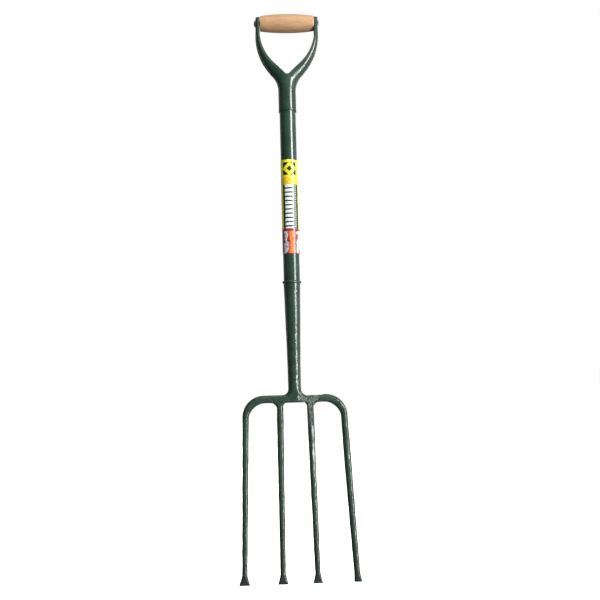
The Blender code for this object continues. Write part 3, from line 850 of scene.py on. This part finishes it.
def forged_paint(name, seed, browning, relief, spatter=None):
    """Enamel over forging scale: pitted and patchy, browner where it goes into the ground, and darkened
    towards the toes with painted shade.

    The seed gives each piece its own patches, and spatter is the (centre, radius) of any weld ripples.
    """
    look = Shading(name)
    place = look.tree.nodes.new("ShaderNodeMapping")
    place.inputs["Location"].default_value = (0.13 * seed, 0.07 * seed, 0.0)
    look.link(look.coordinates, place.inputs["Vector"])
    spot = place.outputs["Vector"]
    tone = look.ramp(look.noise(0.016, 5.0, 0.6, spot), (0.35, PAINT_DEEP), (0.65, PAINT_FRESH))
    low_down = look.ramp(look.axis("Z"), (0.0, browning), (0.25, 0.0))
    brown_patches = look.ramp(look.noise(0.009, 5.0, 0.7, spot), (0.42, 0.0), (0.60, 1.0))
    brown = look.mix(1.0, brown_patches, low_down, "MULTIPLY")
    tone = look.mix(brown, tone, PAINT_BROWN)
    specks = look.ramp(look.noise(0.0015, 2.0, 0.5, spot), (0.64, 0.0), (0.72, 0.6))
    tone = look.mix(specks, tone, PAINT_WORN)
    tone = look.mix(look.edges(0.53, 0.62), tone, PAINT_WORN)
    # painted shade: the paint grows darker towards the toes, standing in for the little light that the
    # lower tines get
    painted_toe_shade = look.ramp(look.axis("Z"), (0.0, 0.75), (0.02, 0.55), (0.20, 0.0))
    tone = look.mix(painted_toe_shade, tone, PAINT_TOE_SHADE)
    rough = look.ramp(look.noise(0.007, 4.0, 0.7, spot), (0.3, 0.14), (0.7, 0.32))
    pits = look.bump(look.noise(0.0030, 2.0, 0.5, spot), 0.00030 * relief)
    scale = look.bump(look.noise(0.008, 2.0, 0.5, spot), 0.00060 * relief, pits)
    if spatter:
        scale = look.bump(weld_ripples(look, *spatter), 1.0, scale)
    return look.finish(tone, rough, scale, rough_coat=True, coat_weight=0.9, coat_roughness=0.08,
                       specular_ior_level=0.45)


def rod_paint(name):
    """Paint over a hammered rod end, rubbed thin on its crown."""
    look = Shading(name)
    tone = look.ramp(look.noise(0.003, 4.0), (0.35, PAINT_DEEP), (0.65, (0.050, 0.060, 0.050)))
    tone = look.mix(look.edges(0.50, 0.58), tone, (0.20, 0.20, 0.19))
    rough = look.ramp(look.noise(0.002, 3.0), (0.3, 0.18), (0.7, 0.40))
    dents = look.bump(look.noise(0.0018, 3.0), 0.00015)
    return look.finish(tone, rough, dents, coat_weight=0.7, coat_roughness=0.08, specular_ior_level=0.5)


def wood(name):
    """Lacquered ash, its grain along the grip."""
    look = Shading(name)
    along = look.scaled(0.10, 1.0, 1.0)
    bands = look.noise(0.0040, 5.0, 0.6, along)
    fibres = look.noise(0.0007, 3.0, 0.6, look.scaled(0.03, 1.0, 1.0))
    tone = look.ramp(bands, (0.30, (0.47, 0.265, 0.132)), (0.50, (0.54, 0.325, 0.168)),
                     (0.72, (0.60, 0.375, 0.202)))
    tone = look.mix(look.ramp(fibres, (0.30, 0.60), (0.55, 0.0)), tone, (0.33, 0.155, 0.070))
    pores = look.ramp(look.noise(0.0009, 2.0, 0.5, look.scaled(0.25, 1.0, 1.0)), (0.68, 0.0), (0.76, 0.7))
    tone = look.mix(pores, tone, (0.10, 0.05, 0.025))
    rough = look.ramp(bands, (0.3, 0.52), (0.7, 0.40))
    ridges = look.bump(fibres, 0.00008)
    return look.finish(tone, rough, ridges, coat_weight=0.15, coat_roughness=0.25)


def label_print(name):
    """Generic printed film: a yellow head, a green panel with plain bars and a striped foot."""
    look = Shading(name)
    height = look.axis("Z")
    across = look.axis("X")
    yellow = (0.88, 0.80, 0.026)
    green = (0.006, 0.032, 0.014)
    white = (0.84, 0.86, 0.84)
    grey = (0.40, 0.46, 0.43)
    maroon = (0.24, 0.022, 0.055)
    red = (0.50, 0.030, 0.030)
    orange = (0.80, 0.20, 0.035)
    head_z = LABEL_BOTTOM + 0.735 * LABEL_HEIGHT
    foot_z = LABEL_BOTTOM + 0.264 * LABEL_HEIGHT
    stripes_z = head_z + 0.075 * LABEL_HEIGHT
    badge_z = 0.5 * (stripes_z + LABEL_TOP) - 0.0003
    badge_half_width = 0.0112
    badge_half_height = 0.0115
    side_reach = 0.020
    foot_border = 0.0045

    def stripes(size, share):
        """Level lines: size metres apart, each a share of that thick."""
        cycle = look.math("FRACT", look.math("MULTIPLY", height, 1.0 / size))
        return look.math("LESS_THAN", cycle, share)

    def both(first, second):
        return look.math("MULTIPLY", first, second)

    orange_lines = both(look.between(height, head_z, stripes_z), stripes(0.0022, 0.35))
    tone = look.mix(orange_lines, yellow, orange)
    badge = both(look.between(across, -badge_half_width, badge_half_width),
                 look.between(height, badge_z - badge_half_height, badge_z + badge_half_height))
    tone = look.mix(badge, tone, green)
    off_badge = look.math("ABSOLUTE", look.math("ADD", height, -badge_z))
    off_badge = look.math("ADD", off_badge, look.math("ABSOLUTE", across))
    for reach, colour in ((0.0125, yellow), (0.0052, green)):
        tone = look.mix(look.math("LESS_THAN", off_badge, reach), tone, colour)
    panel = look.between(height, foot_z, head_z)
    tone = look.mix(panel, tone, green)
    beside_panel = look.between(height, foot_z - 0.004, head_z)
    for left, right in ((-side_reach, -0.0118), (0.0134, side_reach)):
        tone = look.mix(both(beside_panel, look.between(across, left, right)), tone, yellow)
    bars = both(both(panel, look.between(across, -0.0090, 0.0054)), stripes(0.0075, 0.66))
    tone = look.mix(bars, tone, white)
    dashes = both(both(panel, look.between(across, 0.0074, 0.0110)), stripes(0.0040, 0.60))
    tone = look.mix(dashes, tone, grey)
    tone = look.mix(look.math("LESS_THAN", height, foot_z), tone, maroon)
    swirl = look.math("MULTIPLY_ADD", look.noise(0.009, 3.0, 0.7), 0.022, -0.0125)
    off_middle = look.math("ABSOLUTE", look.math("ADD", across, swirl))
    in_foot = look.math("LESS_THAN", height, foot_z - foot_border)
    foot_bands = ((0.0125, white), (0.0098, grey), (0.0078, maroon), (0.0062, red), (0.0044, orange))
    for reach, colour in foot_bands:
        tone = look.mix(both(in_foot, look.math("LESS_THAN", off_middle, reach)), tone, colour)
    scuffs = look.ramp(look.noise(0.004, 5.0, 0.7), (0.62, 0.0), (0.80, 0.35))
    tone = look.mix(scuffs, tone, (0.55, 0.55, 0.50))
    rough = look.ramp(look.noise(0.006, 3.0), (0.3, 0.22), (0.7, 0.38))
    wrinkles = look.bump(look.noise(0.005, 3.0), 0.00010)
    return look.finish(tone, rough, wrinkles, coat_weight=0.6, coat_roughness=0.08)


# ---------------------------------------------------------------- studio

def add_floor():
    """A plain pale floor that neither shows in the fork's gloss nor lights it."""
    bm = bmesh.new()
    bmesh.ops.create_grid(bm, x_segments=1, y_segments=1, size=20.0)
    mesh = bpy.data.meshes.new("studio_floor")
    bm.to_mesh(mesh)
    bm.free()
    material = bpy.data.materials.new("studio_floor")
    material.use_nodes = True
    shader = material.node_tree.nodes["Principled BSDF"]
    shader.inputs["Base Color"].default_value = (0.92, 0.92, 0.92, 1.0)
    shader.inputs["Roughness"].default_value = 0.9
    shader.inputs["Emission Color"].default_value = (1.0, 1.0, 1.0, 1.0)
    shader.inputs["Emission Strength"].default_value = 0.72
    mesh.materials.append(material)
    floor = bpy.data.objects.new("studio_floor", mesh)
    floor.visible_glossy = False
    floor.visible_diffuse = False
    bpy.context.scene.collection.objects.link(floor)


def add_softbox(box):
    """A rectangular soft light aimed at the shaft; its power follows from the radiance of its face."""
    light = bpy.data.lights.new(box.name, "AREA")
    light.shape = "RECTANGLE"
    light.size = box.width
    light.size_y = box.height
    light.energy = box.radiance * math.pi * box.width * box.height
    azimuth = math.radians(box.azimuth)
    elevation = math.radians(box.elevation)
    towards = Vector((math.sin(azimuth) * math.cos(elevation), -math.cos(azimuth) * math.cos(elevation),
                      math.sin(elevation)))
    lamp = bpy.data.objects.new(box.name, light)
    lamp.location = Vector((0.0, AXIS_Y, box.target_z)) + box.distance * towards
    lamp.rotation_euler = towards.to_track_quat("Z", "Y").to_euler()
    lamp.visible_camera = False
    lamp.visible_glossy = box.mirrored
    bpy.context.scene.collection.objects.link(lamp)


def add_world():
    """White behind the fork, and for its reflections a studio that is dark on the left."""
    world = bpy.data.worlds.new("studio")
    world.use_nodes = True
    bpy.context.scene.world = world
    tree = world.node_tree
    background = tree.nodes["Background"]
    seen = tree.nodes.new("ShaderNodeLightPath").outputs["Is Camera Ray"]
    direction = tree.nodes.new("ShaderNodeTexCoord").outputs["Generated"]
    split = tree.nodes.new("ShaderNodeSeparateXYZ")
    tree.links.new(direction, split.inputs["Vector"])
    to_share = tree.nodes.new("ShaderNodeMapRange")
    to_share.inputs["From Min"].default_value = -1.0
    tree.links.new(split.outputs["X"], to_share.inputs["Value"])
    ramp = tree.nodes.new("ShaderNodeValToRGB")
    set_stops(ramp, ((0.0, 0.07), (0.30, 0.12), (0.48, 0.28), (0.60, 0.45), (1.0, 0.50)))
    tree.links.new(to_share.outputs["Result"], ramp.inputs["Fac"])
    mix = tree.nodes.new("ShaderNodeMix")
    mix.data_type = "RGBA"
    tree.links.new(seen, socket_of(mix.inputs, "Factor_Float"))
    tree.links.new(ramp.outputs["Color"], socket_of(mix.inputs, "A_Color"))
    socket_of(mix.inputs, "B_Color").default_value = (1.0, 1.0, 1.0, 1.0)
    tree.links.new(socket_of(mix.outputs, "Result_Color"), background.inputs["Color"])


def add_camera():
    camera = bpy.data.cameras.new("camera")
    camera.sensor_width = VIEW_SENSOR
    camera.lens = VIEW_LENS
    camera.shift_y = VIEW_SHIFT
    heading = VIEW_AZIMUTH + VIEW_YAW
    ahead = Vector((-math.sin(heading) * math.cos(VIEW_PITCH), math.cos(heading) * math.cos(VIEW_PITCH),
                    math.sin(VIEW_PITCH)))
    level_right = ahead.cross(Vector((0.0, 0.0, 1.0))).normalized()
    level_up = level_right.cross(ahead)
    right = level_right * math.cos(VIEW_ROLL) + level_up * math.sin(VIEW_ROLL)
    up = level_up * math.cos(VIEW_ROLL) - level_right * math.sin(VIEW_ROLL)
    eye = bpy.data.objects.new("camera", camera)
    turn = Matrix((right, up, -ahead)).transposed().to_4x4()
    place = Vector((VIEW_DISTANCE * math.sin(VIEW_AZIMUTH), AXIS_Y - VIEW_DISTANCE * math.cos(VIEW_AZIMUTH),
                    VIEW_HEIGHT))
    eye.matrix_world = Matrix.Translation(place) @ turn
    bpy.context.scene.collection.objects.link(eye)
    bpy.context.scene.camera = eye


def main():
    paint = gloss_paint("gloss_green_enamel")
    add_piece("shaft_tube_skin", tube_mesh(), paint, "fork", ["shaft_tube"])
    add_piece("hilt_socket_skin", socket_mesh(), paint, "fork", ["hilt_socket"])
    add_piece("hilt_arm_left_skin", arm_mesh(-1), paint, "fork", ["hilt_arm_left"])
    add_piece("hilt_arm_right_skin", arm_mesh(1), paint, "fork", ["hilt_arm_right"])
    add_piece("crotch_web_skin", web_mesh(), paint, "fork", ["crotch_web"], 20)
    add_piece("label_skin", label_mesh(), label_print("printed_film"), "fork", ["label"])
    add_piece("grip_rod_skin", rod_mesh(), rod_paint("painted_rod"), "fork", ["grip_rod"])
    add_piece("grip_skin", grip_mesh(), wood("lacquered_ash"), "grip", ["grip"])
    bead_paint = forged_paint("painted_weld", 9, 0.0, 0.5)
    add_piece("neck_weld_bead_skin", bead_mesh(), bead_paint, "fork", ["neck_weld_bead"])
    front_y = AXIS_Y - CROSS_HALF_DEPTH
    forged = {
        "forged_neck": (1, 0.0, 0.5, ((0.024, front_y, CROSS_MIDDLE), 0.022)),
        "tine_outer_left": (2, 0.3, 1.2, None),
        "tine_inner_left": (3, 0.8, 1.2, None),
        "tine_inner_right": (4, 0.5, 1.2, ((INNER_ROOT_X, front_y, CROSS_BOTTOM - 0.018), 0.026)),
        "tine_outer_right": (5, 0.3, 1.2, None),
    }

    def material_of(name):
        return forged_paint("forged_enamel_" + name, *forged[name])

    forged_pieces(material_of)
    add_floor()
    add_world()
    for box in BOXES:
        add_softbox(box)
    add_camera()
    bpy.context.scene.view_settings.view_transform = "Standard"


main()
